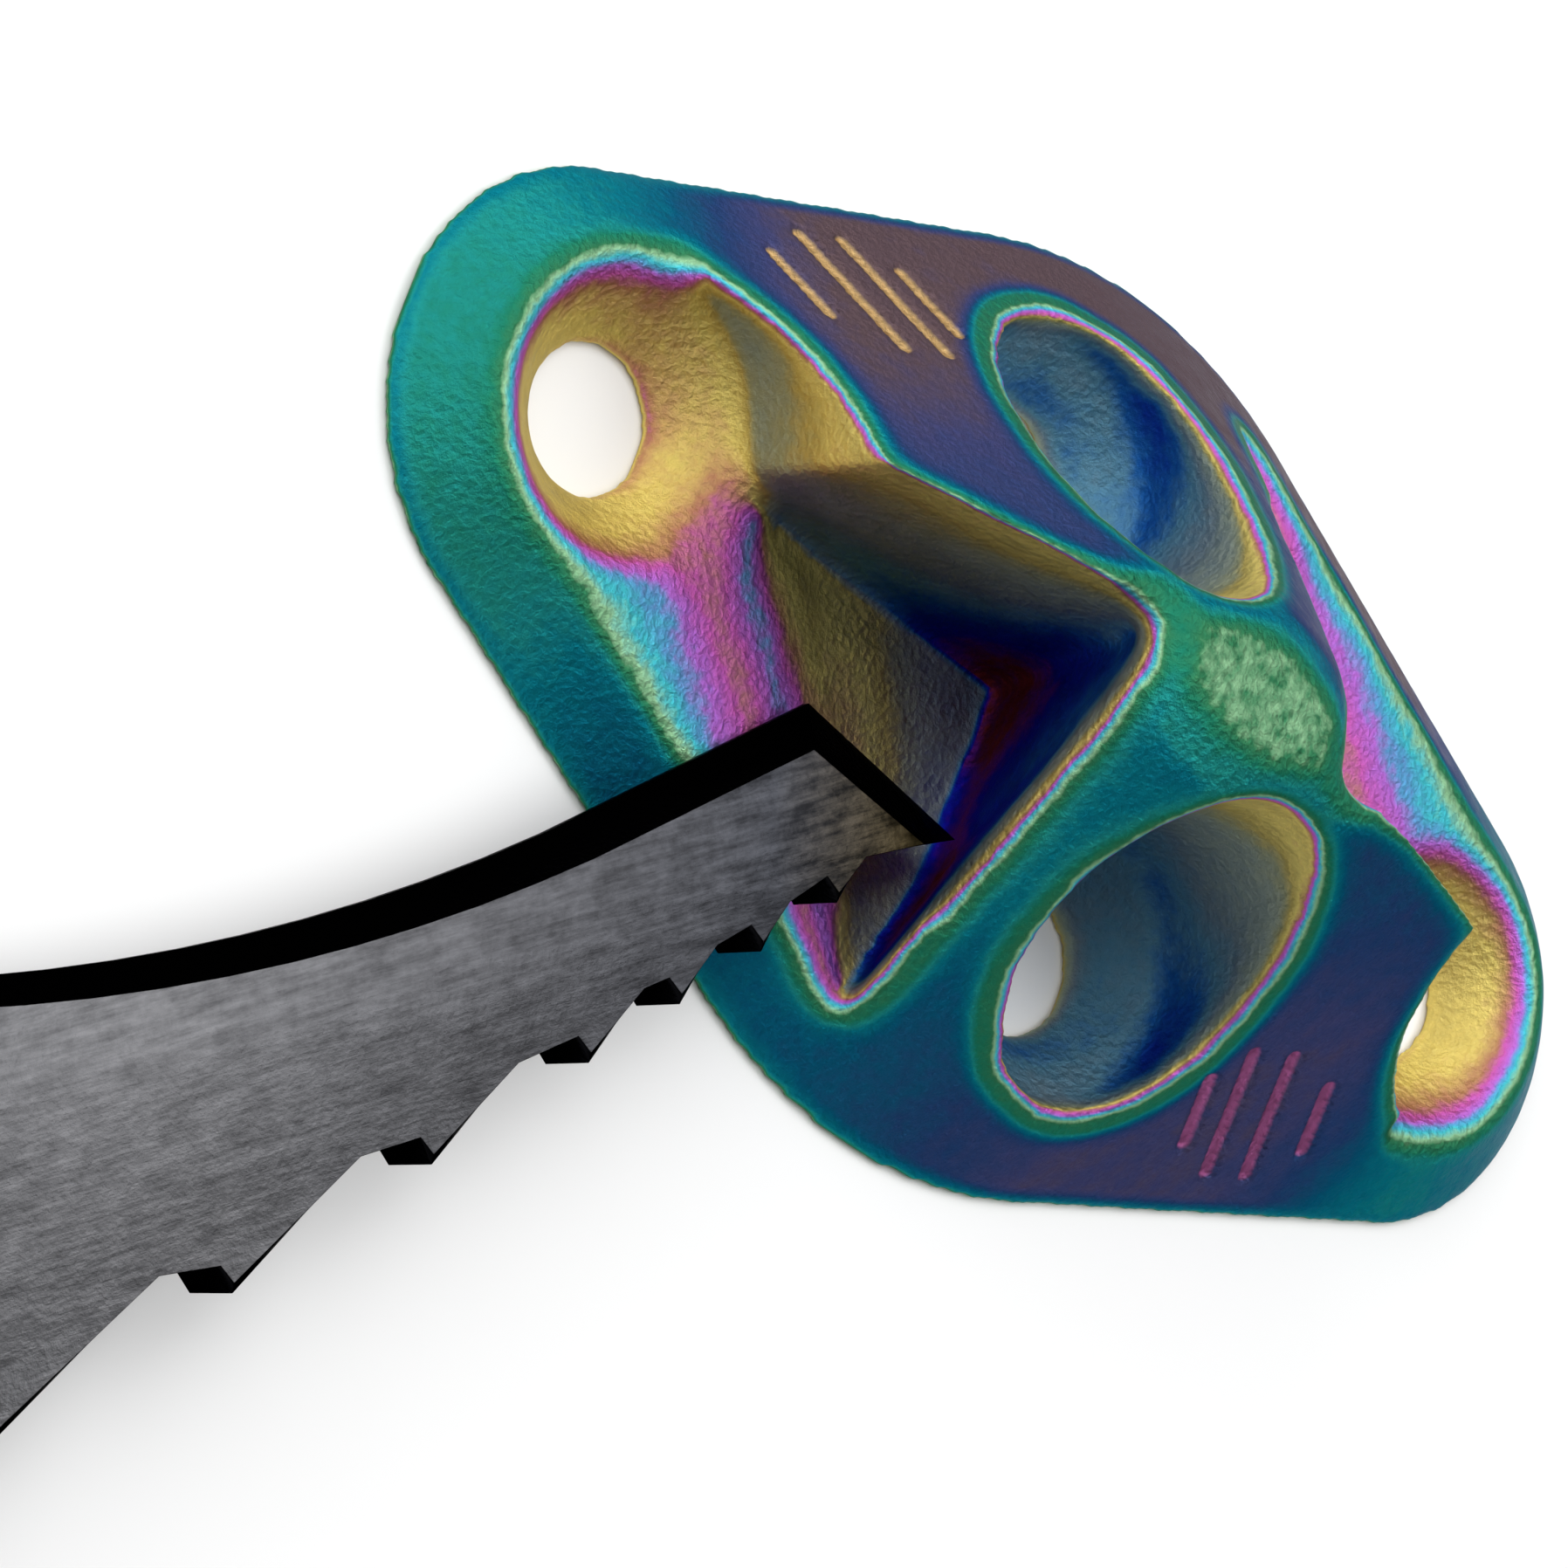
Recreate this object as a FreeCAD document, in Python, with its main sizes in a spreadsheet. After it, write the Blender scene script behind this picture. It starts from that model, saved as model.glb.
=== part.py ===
"""Dry-tooling climbing hold with the pick of an ice tool lying in its pocket.

The hold is one investment casting: a rounded rhombus with roof-like flanks, four
seated screw holes and two undercut pockets. The casting is the same after half a
turn about Z. The pick is a separate flat blade that slides out of its pocket.
Millimetres, Z up, origin at the middle of the flat back of the hold.
"""

import FreeCAD, Part
import math
import os

import Sketcher

V = FreeCAD.Vector

SIZES = {
    # casting, plan
    "end_hole_x": 29.0,
    "end_radius": 11.75,
    "side_radius": 27.5,
    "side_centre_y": 4.58,
    "edge_offset": 23.3,
    "edge_angle": 66.5,
    "ridge_radius": 0.5,
    # casting, roof: inset of each level from the outline, and its height
    "land_height": 0.4,
    "inset_low": 11.2,
    "height_low": 10.93,
    "inset_mid": 17.6,
    "height_mid": 16.9,
    "inset_top": 20.2,
    "height_top": 18.2,
    # screw holes
    "side_hole_x": 5.7,
    "side_hole_y": 10.3,
    "hole_radius": 3.5,
    "seat_start": 0.4,
    "seat_height": 3.7,
    "seat_radius": 7.05,
    "ledge_height": 3.8,
    # pocket, for the quadrant of +X and +Y
    "pocket_wall_y": 0.6,
    "crease_height": 1.5,
    "crease_inner_x": 1.75,
    "crease_outer_x": 2.2,
    "crease_outer_y": 11.2,
    "crease_lead": 0.33,
    "lip_height": 18.6,
    "lip_inner_x": 6.9,
    "lip_outer_x": 7.5,
    "lip_outer_y": 0.7,
    "floor_origin_x": 22.0,
    "floor_turn": 218.4,
    "floor_bend": 1.5,
    "floor_mid_run": 5.0,
    "floor_mid_height": 2.0,
    "floor_end_run": 19.0,
    # reach of the cutting tools past the casting
    "clear_side": 60.0,
    "clear_up": 5.0,
    "clear_down": 1.0,
    # pick
    "pick_tip_x": 3.45,
    "pick_tip_y": 8.65,
    "pick_bottom": 4.0,
    "pick_turn": 48.14,
    "pick_thick": 3.4,
    "blade_height": 9.1,
    "front_run": 6.25,
    "spine_straight": 20.0,
    "spine_radius": 116.0,
    "spine_turn_in": 68.0,
    "crown_radius": 60.0,
    "pick_length": 128.0,
    "tang_lower_v": 1.5,
    "tang_corner": 9.0,
    "bolt_radius": 3.2,
    "bolt_first_u": 99.0,
    "bolt_spacing": 18.0,
    "bolt_v": 11.5,
    # teeth: lines of the crests and gullets against the distance from the tip
    "crest_rise": 0.077,
    "crest_offset": 1.5,
    "gullet_rise": 0.047,
    "gullet_offset": 2.5,
    "flank_min": 2.2,
    "flank_rise": 0.2,
    "flank_offset": 1.4,
    "steep_run": 0.4,
    "steep_depth": 1.45,
    "tang_gap": 7.0,
    # bevels round the edge of the blade
    "edge_land": 0.4,
    "tooth_land": 3.0,
    "spine_bevel": 1.3,
    "front_bevel": 3.1,
    "tip_bevel_u": 4.6,
    "tip_bevel_v": 1.38,
    "crest_bevel": 0.5,
}

# distance along the blade of each tooth's crest, from the tip
CRESTS = (10.4, 15.6, 21.1, 27.1, 37.2, 49.5, 64.6, 79.0)

doc = FreeCAD.newDocument("climbing_hold")
sheet = doc.addObject("Spreadsheet::Sheet", "Dims")
for row, (alias, size) in enumerate(SIZES.items(), start=1):
    sheet.set(f"A{row}", alias)
    sheet.set(f"B{row}", str(size))
    sheet.setAlias(f"B{row}", alias)
doc.recompute()


def number(expression):
    """Value of a sheet expression, used to draw a sketch near its solved shape."""
    return float(sheet.evalExpression(expression))


def origin_plane(body, role):
    return next(f for f in body.Origin.OriginFeatures if f.Role == role)


def attached_sketch(body, name, role="XY_Plane", height=None):
    sketch = body.newObject("Sketcher::SketchObject", name)
    sketch.AttachmentSupport = [(origin_plane(body, role), "")]
    sketch.MapMode = "FlatFace"
    if height:
        sketch.setExpression("AttachmentOffset.Base.z", height)
    return sketch


def bound(sketch, constraint, name, expression):
    """Add a named dimension to a sketch and bind it to the sheet."""
    index = sketch.addConstraint(constraint)
    sketch.renameConstraint(index, name)
    sketch.setExpression(f"Constraints.{name}", expression)


def rounded_rhombus(body, name, end_x, end_r, side_y, side_r, height=None):
    """Four arcs joined by four tangent lines, centred on the origin."""
    sketch = attached_sketch(body, name, height=height)
    ex, er, sy, sr = (number(text) for text in (end_x, end_r, side_y, side_r))
    half = math.radians(number("Dims.edge_angle"))
    arcs = (
        (V(ex, 0, 0), er, -half, half),
        (V(0, -sy, 0), sr, half, math.pi - half),
        (V(-ex, 0, 0), er, math.pi - half, math.pi + half),
        (V(0, sy, 0), sr, math.pi + half, 2 * math.pi - half),
    )
    for centre, radius, start, stop in arcs:
        circle = Part.Circle(centre, V(0, 0, 1), radius)
        sketch.addGeometry(Part.ArcOfCircle(circle, start, stop), False)
    ends = [
        tuple(c + V(math.cos(a), math.sin(a), 0) * r for a in (start, stop))
        for c, r, start, stop in arcs
    ]
    for index in range(4):
        line = Part.LineSegment(ends[index][1], ends[(index + 1) % 4][0])
        sketch.addGeometry(line, False)
    for index in range(4):
        sketch.addConstraint(Sketcher.Constraint("Tangent", index, 2, index + 4, 1))
        sketch.addConstraint(
            Sketcher.Constraint("Tangent", index + 4, 2, (index + 1) % 4, 1)
        )
    for index in (0, 2):
        sketch.addConstraint(Sketcher.Constraint("PointOnObject", index, 3, -1))
        sketch.addConstraint(Sketcher.Constraint("PointOnObject", index + 1, 3, -2))
    bound(sketch, Sketcher.Constraint("Radius", 0, er), "end_r", end_r)
    bound(sketch, Sketcher.Constraint("Radius", 1, sr), "side_r", side_r)
    sketch.addConstraint(Sketcher.Constraint("Equal", 0, 2))
    sketch.addConstraint(Sketcher.Constraint("Equal", 1, 3))
    bound(sketch, Sketcher.Constraint("DistanceX", -1, 1, 0, 3, ex), "end_x", end_x)
    bound(sketch, Sketcher.Constraint("DistanceX", 2, 3, -1, 1, ex), "tail_x", end_x)
    bound(sketch, Sketcher.Constraint("DistanceY", 1, 3, -1, 1, sy), "side_y", side_y)
    bound(sketch, Sketcher.Constraint("DistanceY", -1, 1, 3, 3, sy), "back_y", side_y)
    return sketch


def polygon(sketch, points):
    """Closed outline of straight lines whose corners are bound to the sheet."""
    corners = [V(number(x), number(y), 0) for x, y in points]
    count = len(corners)
    for index in range(count):
        line = Part.LineSegment(corners[index], corners[(index + 1) % count])
        sketch.addGeometry(line, False)
    for index in range(count):
        sketch.addConstraint(
            Sketcher.Constraint("Coincident", index, 2, (index + 1) % count, 1)
        )
    for index, (x, y) in enumerate(points):
        corner = corners[index]
        across = Sketcher.Constraint("DistanceX", -1, 1, index, 1, corner.x)
        along = Sketcher.Constraint("DistanceY", -1, 1, index, 1, corner.y)
        bound(sketch, across, f"x{index}", x)
        bound(sketch, along, f"y{index}", y)
    return sketch


def loft(body, name, profile, sections):
    feature = body.newObject("PartDesign::AdditiveLoft", name)
    feature.Profile = profile
    feature.Sections = sections
    feature.Ruled = True
    return feature


def roof_body():
    """Casting before its holes and pockets are cut."""
    body = doc.addObject("PartDesign::Body", "roof")
    foot = ("Dims.end_hole_x", "Dims.end_radius", "Dims.side_centre_y", "Dims.side_radius")
    ground = rounded_rhombus(body, "ground_outline", *foot)
    land = body.newObject("PartDesign::Pad", "land")
    land.Profile = ground
    land.setExpression("Length", "Dims.land_height")
    start = rounded_rhombus(body, "start_outline", *foot, height="Dims.land_height")
    levels = []
    for level in ("low", "mid", "top"):
        inset = f"Dims.inset_{level}"
        end_x = "Dims.end_hole_x"
        end_r = f"Dims.end_radius - {inset}"
        if level != "low":
            reach = f"Dims.edge_offset - {inset} - Dims.ridge_radius"
            end_x = f"({reach}) / cos(Dims.edge_angle * 1deg)"
            end_r = "Dims.ridge_radius"
        side_r = f"Dims.side_radius - {inset}"
        height = f"Dims.height_{level}"
        levels.append(
            rounded_rhombus(
                body, f"{level}_outline", end_x, end_r, "Dims.side_centre_y", side_r, height
            )
        )
    doc.recompute()
    body.Tip = loft(body, "flanks", start, levels)
    return body


def pocket_tool():
    """Air of one pocket: its walls lean over it, its floor bends down to a crease."""
    walls = doc.addObject("PartDesign::Body", "pocket_walls")
    far = "Dims.clear_side"
    low_reach = f"Dims.crease_outer_x + ({far} - Dims.crease_outer_y) * Dims.crease_lead"
    top_reach = f"Dims.lip_outer_x + ({far} - Dims.lip_outer_y) * Dims.crease_lead"
    low = attached_sketch(walls, "crease_outline", height="Dims.crease_height")
    polygon(
        low,
        [
            ("Dims.crease_inner_x", "-Dims.pocket_wall_y"),
            (far, "-Dims.pocket_wall_y"),
            (far, far),
            (low_reach, far),
            ("Dims.crease_outer_x", "Dims.crease_outer_y"),
        ],
    )
    top = attached_sketch(walls, "lip_outline", height="Dims.lip_height")
    polygon(
        top,
        [
            ("Dims.lip_inner_x", "-Dims.pocket_wall_y"),
            (far, "-Dims.pocket_wall_y"),
            (far, far),
            (top_reach, far),
            ("Dims.lip_outer_x", "Dims.lip_outer_y"),
        ],
    )
    doc.recompute()
    walls.Tip = loft(walls, "wall_loft", low, [top])

    floor = doc.addObject("PartDesign::Body", "pocket_floor")
    floor.setExpression("Placement.Base.x", "Dims.floor_origin_x")
    floor.setExpression("Placement.Base.y", "-Dims.pocket_wall_y")
    floor.Placement.Rotation = FreeCAD.Rotation(V(0, 0, 1), 0)
    floor.setExpression("Placement.Rotation.Angle", "Dims.floor_turn * 1deg")
    profile = attached_sketch(floor, "floor_profile", role="XZ_Plane")
    sky = "Dims.lip_height + Dims.clear_up"
    polygon(
        profile,
        [
            (f"-{far}", "Dims.ledge_height"),
            ("-Dims.floor_bend", "Dims.ledge_height"),
            ("Dims.floor_mid_run", "Dims.floor_mid_height"),
            ("Dims.floor_end_run", "Dims.crease_height"),
            (far, "Dims.crease_height"),
            (far, sky),
            (f"-{far}", sky),
        ],
    )
    doc.recompute()
    pad = floor.newObject("PartDesign::Pad", "floor_pad")
    pad.Profile = profile
    pad.SideType = "Symmetric"
    pad.setExpression("Length", f"2 * {far}")
    floor.Tip = pad

    pocket = doc.addObject("Part::MultiCommon", "pocket")
    pocket.Shapes = [walls, floor]
    return pocket


def half_turn(tool, name):
    """The same tool after half a turn about Z, as two mirrors."""
    across = doc.addObject("Part::Mirroring", f"{name}_across")
    across.Source = tool
    across.Normal = V(1, 0, 0)
    turned = doc.addObject("Part::Mirroring", name)
    turned.Source = across
    turned.Normal = V(0, 1, 0)
    return turned


def cylinder(name, x, y, base, radius, height):
    tool = doc.addObject("Part::Cylinder", name)
    for path, text in (
        ("Placement.Base.x", x),
        ("Placement.Base.y", y),
        ("Placement.Base.z", base),
        ("Radius", radius),
        ("Height", height),
    ):
        tool.setExpression(path, text)
    return tool


def screw_seat(name, x, y):
    """Through hole, conical seat and counterbore for one screw."""
    depth = "Dims.seat_height"
    through = cylinder(f"{name}_through", x, y, "-Dims.clear_down", "Dims.hole_radius", depth)
    bore = cylinder(f"{name}_bore", x, y, depth, "Dims.seat_radius", "Dims.lip_height")
    cone = doc.addObject("Part::Cone", f"{name}_cone")
    for path, text in (
        ("Placement.Base.x", x),
        ("Placement.Base.y", y),
        ("Placement.Base.z", "Dims.seat_start"),
        ("Radius1", "Dims.hole_radius"),
        ("Radius2", "Dims.seat_radius"),
        ("Height", "Dims.seat_height - Dims.seat_start"),
    ):
        cone.setExpression(path, text)
    return [through, cone, bore]


def end_clearance(name, sign):
    """Air above the ledge round an end hole."""
    box = doc.addObject("Part::Box", name)
    near, far = "Dims.end_hole_x", "-Dims.end_hole_x - Dims.clear_side"
    for path, text in (
        ("Placement.Base.x", near if sign > 0 else far),
        ("Placement.Base.y", "-Dims.clear_side"),
        ("Placement.Base.z", "Dims.ledge_height"),
        ("Length", "Dims.clear_side"),
        ("Width", "2 * Dims.clear_side"),
        ("Height", "Dims.clear_side"),
    ):
        box.setExpression(path, text)
    return box


def hold_casting():
    roof = roof_body()
    pocket = pocket_tool()
    tools = [pocket, half_turn(pocket, "pocket_turned")]
    holes = (
        ("end_hole", "Dims.end_hole_x", "0"),
        ("far_end_hole", "-Dims.end_hole_x", "0"),
        ("side_hole", "Dims.side_hole_x", "-Dims.side_hole_y"),
        ("far_side_hole", "-Dims.side_hole_x", "Dims.side_hole_y"),
    )
    for name, x, y in holes:
        tools.extend(screw_seat(name, x, y))
    tools.append(end_clearance("end_air", 1))
    tools.append(end_clearance("far_end_air", -1))
    removed = doc.addObject("Part::MultiFuse", "removed")
    removed.Shapes = tools
    casting = doc.addObject("Part::Cut", "casting")
    casting.Base = roof
    casting.Tool = removed
    casting.Label = "hold_casting"
    return casting


def tooth_points(crest, bevel):
    """Gullet, crest and root of one tooth; the steep side faces the tang."""
    s = SIZES
    gullet = crest - max(s["flank_min"], s["flank_rise"] * crest - s["flank_offset"])
    crest_v = s["crest_rise"] * crest - s["crest_offset"]
    gullet_v = s["gullet_rise"] * gullet - s["gullet_offset"]
    return [
        V(gullet, gullet_v, 0),
        V(crest, crest_v - bevel, 0),
        V(crest + s["steep_run"], crest_v - s["steep_depth"], 0),
    ]


def pick_outline(height):
    """Closed wire of the blade: tip at the origin, tang towards +X, spine towards -Y.

    Above the edge land it is drawn in from the front and the spine, and above the
    tooth land also from the crests of the teeth, by a share that grows with height.
    """
    s = SIZES
    share = max(0.0, height - s["edge_land"]) / (s["pick_thick"] - s["edge_land"])
    tooth_share = max(0.0, height - s["tooth_land"]) / (s["pick_thick"] - s["tooth_land"])
    inset = share * s["spine_bevel"]
    spine_y = inset - s["blade_height"]
    spine_r = s["spine_radius"] + inset
    crown_r = s["crown_radius"] - inset
    centre = V(s["spine_straight"], -s["blade_height"] - s["spine_radius"], 0)
    turn = math.asin((s["spine_turn_in"] - s["spine_straight"]) / s["spine_radius"])
    join_out = V(math.sin(turn), math.cos(turn), 0)
    crown = centre + join_out * (s["spine_radius"] + s["crown_radius"])

    def on_spine(angle):
        return centre + V(math.sin(angle), math.cos(angle), 0) * spine_r

    def on_crown(angle):
        return crown - V(math.sin(angle), math.cos(angle), 0) * crown_r

    top = on_crown(0).y
    back = s["pick_length"]
    corner = s["tang_corner"]
    low = s["tang_lower_v"]
    diagonal = corner * (1 - math.sqrt(0.5))
    tip = V(s["tip_bevel_u"], -s["tip_bevel_v"], 0) * share
    front = V(s["front_run"] + share * s["front_bevel"], spine_y, 0)
    points = [tip]
    for crest in CRESTS:
        points.extend(tooth_points(crest, tooth_share * s["crest_bevel"]))
    points.append(V(CRESTS[-1] + s["tang_gap"], low, 0))
    points.append(V(back - corner, low, 0))
    edges = [Part.LineSegment(a, b).toShape() for a, b in zip(points, points[1:])]
    heel = [(back - corner, low), (back - diagonal, low - diagonal), (back, low - corner)]
    head = [(back, top + corner), (back - diagonal, top + diagonal), (back - corner, top)]
    heel = [V(u, v, 0) for u, v in heel]
    head = [V(u, v, 0) for u, v in head]
    edges.append(Part.Arc(*heel).toShape())
    edges.append(Part.LineSegment(heel[-1], head[0]).toShape())
    edges.append(Part.Arc(*head).toShape())
    edges.append(Part.LineSegment(head[-1], on_crown(0)).toShape())
    edges.append(Part.Arc(on_crown(0), on_crown(turn / 2), on_crown(turn)).toShape())
    edges.append(Part.Arc(on_spine(turn), on_spine(turn / 2), on_spine(0)).toShape())
    edges.append(Part.LineSegment(on_spine(0), front).toShape())
    edges.append(Part.LineSegment(front, tip).toShape())
    wire = Part.Wire(edges)
    wire.translate(V(0, 0, height))
    return wire


def tool_pick():
    """Flat blade with a bevelled front and spine, teeth, and two bolt holes."""
    s = SIZES
    levels = (0.0, s["edge_land"], s["tooth_land"], s["pick_thick"])
    blade = Part.makeLoft([pick_outline(level) for level in levels], True, True)
    for index in range(2):
        place = V(
            s["bolt_first_u"] + index * s["bolt_spacing"], -s["bolt_v"], -s["clear_down"]
        )
        depth = s["pick_thick"] + 2 * s["clear_down"]
        blade = blade.cut(Part.makeCylinder(s["bolt_radius"], depth, place))
    pick = doc.addObject("Part::Feature", "pick")
    pick.Shape = blade
    pick.Label = "tool_pick"
    pick.Placement = FreeCAD.Placement(
        V(s["pick_tip_x"], s["pick_tip_y"], s["pick_bottom"]),
        FreeCAD.Rotation(V(0, 0, 1), s["pick_turn"]),
    )
    return pick


nodes = [hold_casting(), tool_pick()]
doc.recompute()

for item in doc.Objects:
    if {"Invalid", "Error"} & set(item.State):
        raise RuntimeError(f"{item.Name} failed: {item.State}")
for node in nodes:
    if node.Shape.isNull() or not node.Shape.isValid():
        raise RuntimeError(f"{node.Label} has no valid shape")

os.makedirs("parts", exist_ok=True)
for node in nodes:
    node.Shape.exportStep(os.path.join("parts", f"{node.Label}.step"))
    box = node.Shape.BoundBox
    print(node.Label, len(node.Shape.Solids), round(node.Shape.Volume, 1), box)
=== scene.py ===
"""Screw-on dry-tooling hold with an ice-tool pick in its pocket: the looks of the CAD frame.

Metres, in the frame of the CAD parts. The hold lies flat on z = 0.
"""

import math

import bmesh
import bpy
import numpy as np
from mathutils import Matrix, Vector, noise
from mathutils.bvhtree import BVHTree
from mathutils.kdtree import KDTree


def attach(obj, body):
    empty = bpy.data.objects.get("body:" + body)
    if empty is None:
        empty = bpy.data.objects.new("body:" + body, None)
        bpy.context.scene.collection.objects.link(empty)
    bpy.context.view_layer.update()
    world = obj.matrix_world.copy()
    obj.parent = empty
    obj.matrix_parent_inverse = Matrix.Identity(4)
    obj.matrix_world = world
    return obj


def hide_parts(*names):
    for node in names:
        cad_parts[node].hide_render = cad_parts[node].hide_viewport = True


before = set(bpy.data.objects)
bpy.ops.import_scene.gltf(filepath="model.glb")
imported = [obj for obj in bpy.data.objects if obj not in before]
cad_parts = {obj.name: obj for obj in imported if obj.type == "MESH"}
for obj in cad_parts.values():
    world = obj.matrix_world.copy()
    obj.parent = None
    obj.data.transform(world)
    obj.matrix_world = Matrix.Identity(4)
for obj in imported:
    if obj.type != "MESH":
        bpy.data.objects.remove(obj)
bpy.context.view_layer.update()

MM = 0.001
SKIN_VOXEL = 0.3 * MM
SHEEN_VIEW_AXIS = Vector((0.55, 0.35, 0.76)).normalized()  # the camera's view axis; colour set by a face's turn from it is a painted sheen
FULL_FILM = 1.4  # film value stored as 1 in the attribute
# soft edges of the pocket at +X +Y, in mm: its undercut lip, and the bend of its floor;
# the other pocket has the same after half a turn
LIP_LINES = np.array((((7.2, 0.2, 17.9), (7.4, 3.0, 16.9)), ((7.4, 3.0, 16.9), (6.5, 12.6, 9.0))))
BEND_LINE = np.array(((21.2, 2.6, 3.8), (13.5, 12.5, 3.8)))
# grooves of a flank, in mm: distance along it, and the heights it runs between
STROKES = ((10.0, 3.4, 6.2), (12.7, 2.2, 7.4), (15.4, 2.2, 7.4), (18.1, 3.4, 6.2))
STROKE_LEAN = 0.4
STROKE_WIDTH = 0.8 * MM
STROKE_DEPTH = 0.3 * MM
# the flanks: angle of the normal from X, rise over run, and distance of the foot in mm
FLANK_ANGLE = 66.5
FLANK_SLOPE = 0.94
FLANK_REACH = 23.3
LAND_HEIGHT = 0.4


def linked(name, mesh):
    obj = bpy.data.objects.new(name, mesh)
    bpy.context.scene.collection.objects.link(obj)
    return obj


def copy_of_node(node, name):
    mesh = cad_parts[node].data.copy()
    mesh.materials.clear()
    build = bmesh.new()
    build.from_mesh(mesh)
    bmesh.ops.remove_doubles(build, verts=build.verts, dist=0.001 * MM)
    build.to_mesh(mesh)
    build.free()
    return linked(name, mesh)


def apply_modifiers(obj):
    graph = bpy.context.evaluated_depsgraph_get()
    mesh = bpy.data.meshes.new_from_object(obj.evaluated_get(graph))
    obj.modifiers.clear()
    obj.data = mesh


def read_vectors(items, field):
    values = np.empty(len(items) * 3, np.float32)
    items.foreach_get(field, values)
    return values.reshape(-1, 3).astype(float)


class Skin:
    """Vertices, normals and neighbours of a mesh, for work on whole arrays."""

    def __init__(self, mesh):
        self.mesh = mesh
        self.points = read_vectors(mesh.vertices, "co")
        edges = np.empty(len(mesh.edges) * 2, np.int32)
        mesh.edges.foreach_get("vertices", edges)
        edges = edges.reshape(-1, 2)
        self.start = np.concatenate([edges[:, 0], edges[:, 1]])
        self.stop = np.concatenate([edges[:, 1], edges[:, 0]])
        self.degree = np.maximum(np.bincount(self.start, minlength=len(self.points)), 1)

    def neighbour_mean(self, values):
        columns = values.reshape(len(values), -1)
        total = [
            np.bincount(self.start, weights=columns[self.stop, k], minlength=len(values))
            for k in range(columns.shape[1])
        ]
        return (np.stack(total, 1) / self.degree[:, None]).reshape(values.shape)

    def spread(self, values, rounds, share=0.5):
        for _ in range(rounds):
            values = values + (self.neighbour_mean(values) - values) * share
        return values

    def write(self):
        self.mesh.vertices.foreach_set("co", self.points.astype(np.float32).ravel())
        self.mesh.update()

    def normals(self):
        return read_vectors(self.mesh.vertex_normals, "vector")


def smoothstep(low, high, values):
    t = np.clip((values - low) / (high - low), 0, 1)
    return t * t * (3 - 2 * t)


def relax(skin, rounds, weight):
    back = skin.points[:, 2] < 0.05 * MM
    for _ in range(rounds):
        skin.points += (skin.neighbour_mean(skin.points) - skin.points) * weight[:, None]
        skin.points[back, 2] = 0
    skin.points[:, 2] = np.maximum(skin.points[:, 2], 0)


def distance_to_line(points, start, stop):
    a = np.array(start)
    line = np.array(stop) - a
    offset = points - a
    share = np.clip(offset @ line / (line @ line), 0, 1)
    return np.linalg.norm(offset - share[:, None] * line, axis=1)


def soften(skin, rounds):
    """Round the casting's edges; the flat back and the rim it stands on stay sharp."""
    relax(skin, rounds // 8, np.full(len(skin.points), 0.5))
    above = 0.05 + 0.45 * smoothstep(0.2 * MM, 1.2 * MM, skin.points[:, 2])
    relax(skin, rounds, above)
    for sign in (1, -1):
        turn = np.array((sign, sign, 1)) * MM
        lip = np.minimum(*(distance_to_line(skin.points, *(line * turn)) for line in LIP_LINES))
        relax(skin, 6 * rounds, 0.5 * (1 - smoothstep(1.2 * MM, 3.0 * MM, lip)))
        bend = distance_to_line(skin.points, *(BEND_LINE * turn))
        relax(skin, 12 * rounds, 0.5 * (1 - smoothstep(1.5 * MM, 4.0 * MM, bend)))


def cast_waves(skin, normals):
    """Slight unevenness of an investment casting."""
    height = np.empty(len(skin.points))
    for i, point in enumerate(skin.points):
        p = Vector(point)
        wide = noise.noise(p / (4.5 * MM))
        fine = noise.noise(p / (1.3 * MM))
        height[i] = (0.05 * wide + 0.025 * fine) * MM
    height *= smoothstep(0.3 * MM, 1.5 * MM, skin.points[:, 2])
    skin.points += normals * height[:, None]


def along_flank(side, along, up):
    """Point on one of the four flanks, and the normal of the flank.

    side holds the signs of X and Y, along runs level from the middle of the flank
    towards the end hole and up is the height.
    """
    angle = math.radians(FLANK_ANGLE)
    out = Vector((math.cos(angle) * side[0], math.sin(angle) * side[1], 0))
    level = Vector((math.sin(angle) * side[0], -math.cos(angle) * side[1], 0))
    reach = FLANK_REACH - (up - LAND_HEIGHT) / FLANK_SLOPE
    point = (out * reach + level * along + Vector((0, 0, up))) * MM
    normal = (out * FLANK_SLOPE + Vector((0, 0, 1))).normalized()
    return point, normal


def engrave(skin, normals, strokes, width, depth):
    """Sink straight strokes with round ends into the skin."""
    sunk = np.zeros(len(skin.points))
    for start, stop, outward in strokes:
        distance = distance_to_line(skin.points, start, stop)
        sink = 1 - smoothstep(0.25 * width, 0.75 * width, distance)
        sunk = np.maximum(sunk, np.where(normals @ np.array(outward) > 0.75, sink, 0))
    skin.points -= normals * (sunk * depth)[:, None]
    return sunk


def sky_directions(count):
    """Evenly spread directions of a cosine-weighted hemisphere about Z."""
    golden = math.pi * (3 - math.sqrt(5))
    rays = []
    for i in range(count):
        r = math.sqrt((i + 0.5) / count)
        rays.append((r * math.cos(i * golden), r * math.sin(i * golden), math.sqrt(1 - r * r)))
    return rays


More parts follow.
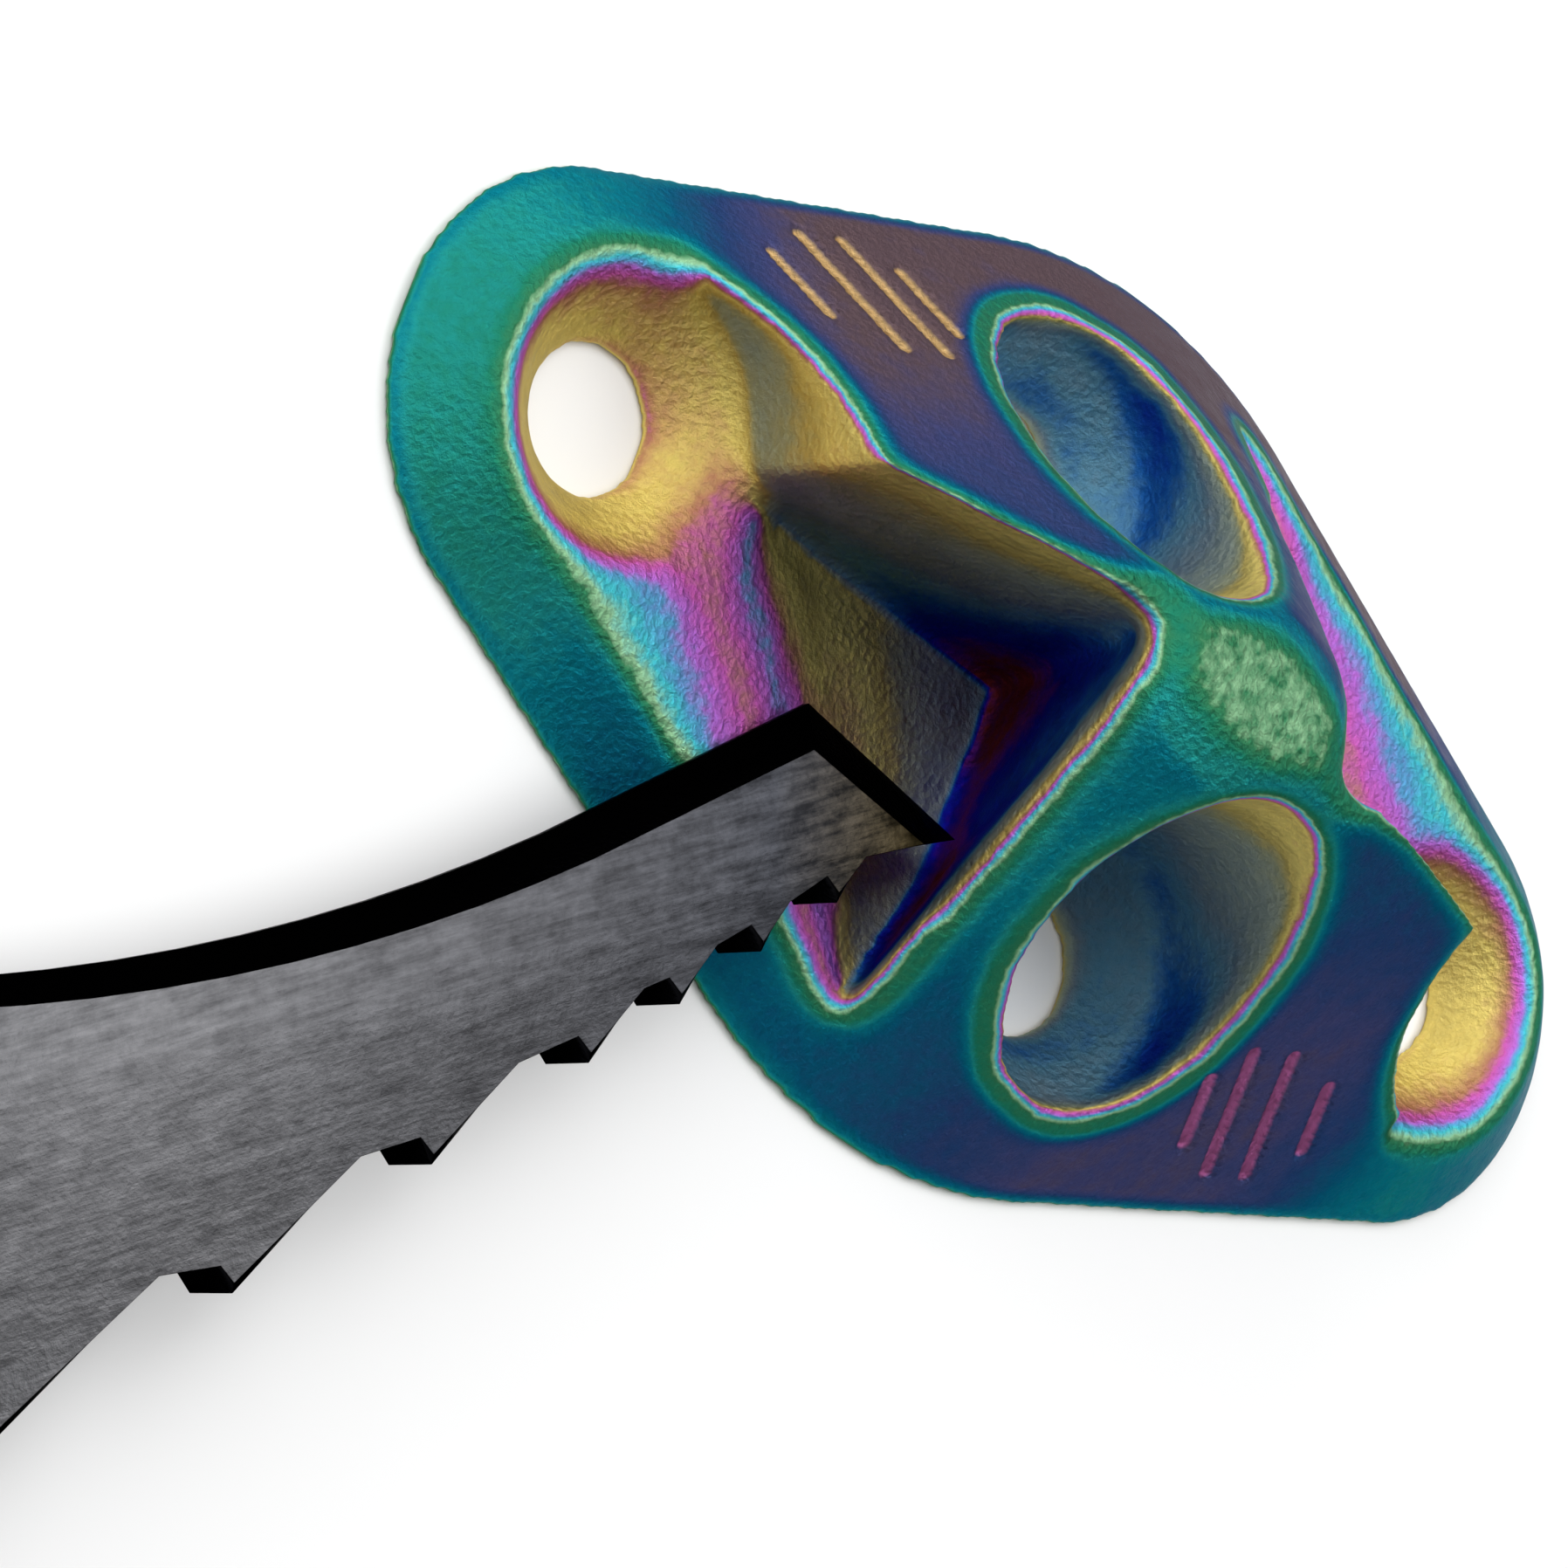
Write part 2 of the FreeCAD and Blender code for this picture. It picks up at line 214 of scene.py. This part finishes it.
def exposure(skin, normals, sample_count, ray_count):
    """Share of open sky over each vertex, cast from some and spread to all."""
    polygons = [p.vertices[:] for p in skin.mesh.polygons]
    tree = BVHTree.FromPolygons([Vector(p) for p in skin.points], polygons)
    rays = sky_directions(ray_count)
    order = np.random.default_rng(7).permutation(len(skin.points))[:sample_count]
    spots = KDTree(len(order))
    open_share = np.empty(len(order))
    for k, i in enumerate(order):
        normal = Vector(normals[i])
        turn = normal.to_track_quat("Z", "Y").to_matrix()
        origin = Vector(skin.points[i]) + normal * 0.05 * MM
        clear = 0
        for ray in rays:
            if tree.ray_cast(origin, turn @ Vector(ray))[0] is None:
                clear += 1
        open_share[k] = clear / len(rays)
        spots.insert(origin, k)
    spots.balance()
    result = np.empty(len(skin.points))
    reach = 0.5 * MM
    for i, point in enumerate(skin.points):
        total = weight_sum = 0.0
        for _, k, distance in spots.find_n(Vector(point), 7):
            agree = max(0.0, float(normals[i] @ normals[order[k]]))
            weight = math.exp(-((distance / reach) ** 2)) * agree**4 + 1e-9
            total += weight * open_share[k]
            weight_sum += weight
        result[i] = total / weight_sum
    return result


def point_attribute(mesh, name, values):
    attribute = mesh.attributes.new(name, "FLOAT", "POINT")
    attribute.data.foreach_set("value", values.astype(np.float32))


def film_and_sheen(skin, normals, open_sky):
    """Thickness of the coating: thin in the pockets, thick outside.

    From 0 to 1 it follows the open share of the sky, beyond 1 it tells the outer faces apart with
    a painted sheen, the film's colour shift at a slant from the view axis.
    """
    # pockets: floors and bores differ from the walls around them, rims and creases are thinner
    facing_view = normals @ np.array(SHEEN_VIEW_AXIS)
    up = np.clip(normals[:, 2], 0, 1)
    bend = ((skin.points - skin.neighbour_mean(skin.points)) * normals).sum(1) / MM
    rims = 0.16 * (1 - smoothstep(0.1, 0.5, up)) * smoothstep(0.78, 0.90, open_sky)
    hollow = np.clip(-skin.spread(bend, 6), 0, 0.03)
    wide = skin.spread(open_sky, 100)
    floors = 0.27 * smoothstep(0.8, 1.0, up) * (1 - smoothstep(0.6, 0.8, open_sky))
    mid_open = smoothstep(0.5, 0.65, open_sky) * (1 - smoothstep(0.85, 0.95, open_sky))
    bores = -0.08 * (1 - smoothstep(0.1, 0.5, up)) * mid_open
    value = np.clip(1.02 * open_sky + floors + bores - rims - 3 * hollow, 0.22, 1)
    # outside: a painted sheen, the film's colour shift at a slant, thickest on the flanks turned
    # away from the view axis, thinner at the ends
    side = 1 - smoothstep(0.4, 0.95, facing_view)
    ends = smoothstep(20 * MM, 34 * MM, np.abs(skin.points[:, 0]))
    flank = 1 - smoothstep(0.80, 0.97, up)
    high = smoothstep(6 * MM, 15 * MM, skin.points[:, 2])
    outer_film_and_sheen = (0.15 + 0.25 * side) * (1 - 0.75 * ends) * (1 - 0.3 * high) * flank
    # painted highlight: high top faces get the light mint of the film
    outer_film_and_sheen -= 0.04 * high * smoothstep(0.95, 1.0, up)
    value += 0.02 * smoothstep(0.96, 1.0, open_sky)
    outer_film_and_sheen += (0.10 - outer_film_and_sheen) * (1 - smoothstep(0.4 * MM, 1.2 * MM, skin.points[:, 2]))
    value += outer_film_and_sheen * smoothstep(0.93, 1.0, wide) * smoothstep(0.93, 0.985, open_sky)
    return value / FULL_FILM


def cast_hold():
    obj = copy_of_node("hold_casting", "cast_hold")
    remesh = obj.modifiers.new("skin", "REMESH")
    remesh.mode = "VOXEL"
    remesh.voxel_size = SKIN_VOXEL * 1
    apply_modifiers(obj)
    skin = Skin(obj.data)
    soften(skin, 20)
    skin.write()
    normals = skin.normals()
    cast_waves(skin, normals)
    skin.write()
    normals = skin.normals()
    counts = ((30000, 96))
    open_sky = skin.spread(exposure(skin, normals, *counts), 14)
    point_attribute(obj.data, "film_and_sheen", film_and_sheen(skin, normals, open_sky))
    strokes = []
    for side in ((1, -1), (-1, 1)):
        for along, low, high in STROKES:
            start, outward = along_flank(side, along, low)
            stop, _ = along_flank(side, along - STROKE_LEAN * (high - low), high)
            strokes.append((start, stop, outward))
    sunk = engrave(skin, normals, strokes, STROKE_WIDTH, STROKE_DEPTH)
    skin.write()
    point_attribute(obj.data, "sunk", sunk)
    obj.data.shade_smooth()
    obj.data.materials.append(film_and_sheen_material())
    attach(obj, "hold")
    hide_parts("hold_casting")
    return obj


class Nodes:
    """Short way to build a node tree."""

    def __init__(self, name):
        self.material = bpy.data.materials.new(name)
        self.material.use_nodes = True
        self.tree = self.material.node_tree
        self.shader = self.tree.nodes.get("Principled BSDF")
        if self.shader is None:
            self.tree.nodes.clear()
            self.shader = self.tree.nodes.new("ShaderNodeBsdfPrincipled")
            output = self.tree.nodes.new("ShaderNodeOutputMaterial")
            self.tree.links.new(self.shader.outputs[0], output.inputs[0])

    def add(self, kind, inputs=None, **settings):
        node = self.tree.nodes.new(f"ShaderNode{kind}")
        for key, value in settings.items():
            setattr(node, key, value)
        for key, value in (inputs or {}).items():
            if isinstance(value, bpy.types.NodeSocket):
                self.tree.links.new(value, node.inputs[key])
            else:
                node.inputs[key].default_value = value
        return node

    def maths(self, operation, a, b=0.0):
        return self.add("Math", {0: a, 1: b}, operation=operation).outputs[0]

    def noise(self, place, scale, detail=2.0, rough=0.5):
        inputs = {"Vector": place, "Scale": scale, "Detail": detail, "Roughness": rough}
        return self.add("TexNoise", inputs).outputs["Fac"]

    def ramp(self, value, stops, colours=True):
        node = self.add("ValToRGB", {"Fac": value})
        elements = node.color_ramp.elements
        while len(elements) < len(stops):
            elements.new(0.5)
        for element, (position, paint) in zip(elements, stops):
            element.position = position
            element.color = (*paint, 1) if colours else (paint, paint, paint, 1)
        return node.outputs[0]

    def blend(self, share, a, b):
        a, b = (x if isinstance(x, bpy.types.NodeSocket) else (*x, 1) for x in (a, b))
        return self.add("Mix", {0: share, 6: a, 7: b}, data_type="RGBA").outputs[2]

    def range(self, value, low, high, to_low=0.0, to_high=1.0):
        inputs = {"Value": value, 1: low, 2: high, 3: to_low, 4: to_high}
        return self.add("MapRange", inputs).outputs[0]

    def shade(self, **inputs):
        for name, value in inputs.items():
            socket = self.shader.inputs[name.replace("_", " ")]
            if isinstance(value, bpy.types.NodeSocket):
                self.tree.links.new(value, socket)
            else:
                socket.default_value = value


# film thickness, and the colour it reflects; the stops beyond 1 carry the painted sheen of the
# outer faces
FILM_COLOURS = (
    (0.18, (0.20, 0.02, 0.01)),
    (0.22, (0.25, 0.03, 0.04)),
    (0.25, (0.15, 0.02, 0.35)),
    (0.28, (0.01, 0.01, 0.50)),
    (0.34, (0.01, 0.06, 0.50)),
    (0.38, (0.02, 0.16, 0.52)),
    (0.43, (0.15, 0.36, 0.50)),
    (0.50, (0.25, 0.33, 0.38)),
    (0.56, (0.40, 0.46, 0.38)),
    (0.61, (0.45, 0.46, 0.28)),
    (0.66, (0.65, 0.52, 0.16)),
    (0.72, (0.90, 0.74, 0.22)),
    (0.78, (0.60, 0.28, 0.18)),
    (0.82, (0.75, 0.15, 0.60)),
    (0.87, (0.60, 0.20, 0.85)),
    (0.90, (0.15, 0.45, 0.85)),
    (0.93, (0.08, 0.70, 0.80)),
    (0.965, (0.40, 0.75, 0.42)),
    (0.99, (0.05, 0.27, 0.12)),
    (1.03, (0.02, 0.27, 0.16)),
    (1.08, (0.02, 0.36, 0.34)),
    (1.12, (0.005, 0.26, 0.34)),
    (1.18, (0.005, 0.15, 0.28)),
    (1.25, (0.03, 0.08, 0.24)),
    (1.32, (0.08, 0.09, 0.24)),
    (1.40, (0.17, 0.11, 0.12)),
)


# blade of the pick: its turn about Z, the turn of its grinding marks from that, and its tip
PICK_TURN = 48.14
STREAK_TURN = -8.0
TIP = (0.0035, 0.0087, 0.0074)


def film_and_sheen_material():
    n = Nodes("interference_film")
    place = n.add("TexCoord").outputs["Object"]
    thick = n.add("Attribute", attribute_name="film_and_sheen").outputs["Fac"]
    mottle = n.range(n.noise(place, 1500.0, 3.0), 0.3, 0.7, -0.008, 0.008)
    thick = n.maths("ADD", thick, mottle)
    colour = n.ramp(thick, [(t / FULL_FILM, paint) for t, paint in FILM_COLOURS])
    sunk = n.add("Attribute", attribute_name="sunk").outputs["Fac"]
    behind = n.range(n.add("SeparateXYZ", {"Vector": place}).outputs["Y"], -0.001, 0.001)
    groove = n.blend(behind, (0.75, 0.50, 0.22), (0.62, 0.18, 0.45))
    colour = n.blend(n.range(sunk, 0.35, 0.8), colour, groove)
    grain = n.add("TexVoronoi", {"Vector": place, "Scale": 2300.0}, feature="F1")
    pebbles = grain.outputs["Distance"]
    fine = n.noise(place, 4200.0, 5.0, 0.7)
    height = n.maths("ADD", n.maths("MULTIPLY", pebbles, 0.5), n.maths("MULTIPLY", fine, 0.8))
    bump = n.add("Bump", {"Height": height, "Strength": 0.9, "Distance": 0.00016})
    deep = n.range(thick, 0.86 / FULL_FILM, 0.60 / FULL_FILM, 0.0, 0.16)
    rough = n.maths("ADD", n.range(n.noise(place, 900.0), 0.3, 0.7, 0.28, 0.40), deep)
    n.shade(Base_Color=colour, Metallic=1.0, Roughness=rough, Normal=bump.outputs[0])
    n.shade(Specular_Tint=(0.45, 0.45, 0.50, 1))
    return n.material


def steel_material():
    n = Nodes("blackened_steel")
    place = n.add("TexCoord").outputs["Object"]
    turned = n.add(
        "Mapping", {"Vector": place, "Rotation": (0, 0, -math.radians(PICK_TURN + STREAK_TURN))}
    ).outputs[0]
    up = n.add("SeparateXYZ", {"Vector": n.add("NewGeometry").outputs["Normal"]}).outputs["Z"]
    edge_noise = n.range(n.noise(place, 900.0, 4.0), 0.3, 0.7, -0.05, 0.05)
    flat = n.range(n.maths("ADD", n.maths("ABSOLUTE", up), edge_noise), 0.84, 0.93)
    streak_place = n.add("Mapping", {"Vector": turned, "Scale": (0.12, 1.0, 1.0)}).outputs[0]
    streaks = n.noise(streak_place, 1900.0, 6.0, 0.72)
    clouds = n.noise(place, 700.0, 6.0, 0.7)
    tone = n.maths("ADD", n.maths("MULTIPLY", streaks, 0.6), n.maths("MULTIPLY", clouds, 0.4))
    ground = n.ramp(tone, ((0.36, (0.08, 0.08, 0.085)), (0.64, (0.19, 0.19, 0.20))))
    from_tip = n.add("VectorMath", {0: place, 1: TIP}, operation="DISTANCE").outputs["Value"]
    # painted reflection: the ground face darkens towards the tip, where it mirrors the dark
    # pocket
    pocket_reflection_dark = n.ramp(tone, ((0.40, (0.014, 0.015, 0.019)), (0.60, (0.055, 0.058, 0.07))))
    ground = n.blend(n.range(from_tip, 0.010, 0.050), pocket_reflection_dark, ground)
    # painted reflection: the tip turns brownish gold, the gold pocket floor mirrored in the blade
    pocket_reflection_gold = n.ramp(tone, ((0.42, (0.012, 0.009, 0.003)), (0.58, (0.09, 0.068, 0.032))))
    ground = n.blend(n.range(from_tip, 0.005, 0.014), pocket_reflection_gold, ground)
    mix = n.blend(flat, (0.006, 0.006, 0.007), ground)
    rough = n.range(flat, 0.0, 1.0, 0.28, 0.42)
    grit = n.maths("ADD", streaks, n.noise(place, 3000.0, 3.0, 0.6))
    bump = n.add("Bump", {"Height": grit, "Strength": 0.5, "Distance": 0.00006})
    n.shade(Base_Color=mix, Metallic=1.0, Roughness=rough, Normal=bump.outputs[0])
    n.shade(Specular_Tint=(0.15, 0.15, 0.15, 1))
    return n.material


WORN_EDGE = 0.15 * MM


def ice_pick():
    obj = copy_of_node("tool_pick", "ice_pick")
    build = bmesh.new()
    build.from_mesh(obj.data)
    bmesh.ops.dissolve_limit(
        build, angle_limit=math.radians(1.0), verts=build.verts, edges=build.edges
    )
    build.to_mesh(obj.data)
    build.free()
    bevel = obj.modifiers.new("worn_edges", "BEVEL")
    bevel.width = WORN_EDGE
    bevel.segments = 2
    bevel.limit_method = "ANGLE"
    bevel.angle_limit = math.radians(20)
    bevel.use_clamp_overlap = True
    apply_modifiers(obj)
    obj.data.shade_smooth()
    obj.data.materials.append(steel_material())
    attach(obj, "pick")
    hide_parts("tool_pick")
    return obj


TABLE_HALF = 0.14
TABLE_GAP = 0.0001  # keeps the table clear of the flat back


def floor():
    half = TABLE_HALF
    mesh = bpy.data.meshes.new("table")
    corners = [(-half, -half, 0), (half, -half, 0), (half, half, 0), (-half, half, 0)]
    mesh.from_pydata(corners, [], [(0, 1, 2, 3)])
    obj = linked("table", mesh)
    obj.location.z = -TABLE_GAP
    n = Nodes("table_white")
    n.shade(Base_Color=(0.9, 0.9, 0.9, 1), Roughness=0.8)
    mesh.materials.append(n.material)


def softbox(name, direction, distance, size, radiance, in_reflections=True):
    light = bpy.data.lights.new(name, "AREA")
    light.shape = "RECTANGLE"
    light.size, light.size_y = size
    light.energy = radiance * math.pi * size[0] * size[1]
    obj = bpy.data.objects.new(name, light)
    bpy.context.scene.collection.objects.link(obj)
    obj.location = Vector(direction).normalized() * distance
    obj.rotation_euler = Vector(direction).to_track_quat("Z", "Y").to_euler()
    obj.visible_glossy = in_reflections


def studio():
    world = bpy.data.worlds.new("studio")
    world.use_nodes = True
    back = world.node_tree.nodes.get("Background") or world.node_tree.nodes.new(
        "ShaderNodeBackground"
    )
    back.inputs["Color"].default_value = (1, 1, 1, 1)
    back.inputs["Strength"].default_value = 0.13
    bpy.context.scene.world = world
    softbox("key", (0.60, -0.45, 0.66), 0.9, (0.9, 0.9), 2.4)
    softbox("top", (-0.46, -0.38, 0.80), 0.9, (0.7, 0.6), 2.9)
    softbox("front", (0.75, 0.25, 0.62), 0.9, (0.4, 0.4), 1.2)
    softbox("table_fill", (0.0, -0.1, 1.0), 1.1, (1.6, 1.6), 0.8, in_reflections=False)
    bpy.context.scene.view_settings.view_transform = "Standard"


# the photograph's view: axis from the object to the camera, upward, focal length in mm, place
VIEW_BACK = Vector((0.5743, 0.3401, 0.7447))
VIEW_UP = Vector((0.4663, -0.8836, 0.0439))
VIEW_LENS = 182.6
VIEW_PLACE = (0.22476, 0.13605, 0.27751)


def camera():
    back = VIEW_BACK.normalized()
    up = VIEW_UP
    right = up.cross(back).normalized()
    up = back.cross(right)
    lens = bpy.data.cameras.new("camera")
    lens.lens = VIEW_LENS
    lens.sensor_width = 36
    lens.clip_start = 0.01
    obj = bpy.data.objects.new("camera", lens)
    bpy.context.scene.collection.objects.link(obj)
    turn = Matrix((right, up, back)).transposed().to_4x4()
    obj.matrix_world = Matrix.Translation(VIEW_PLACE) @ turn
    bpy.context.scene.camera = obj


cast_hold()
ice_pick()
floor()
studio()
camera()
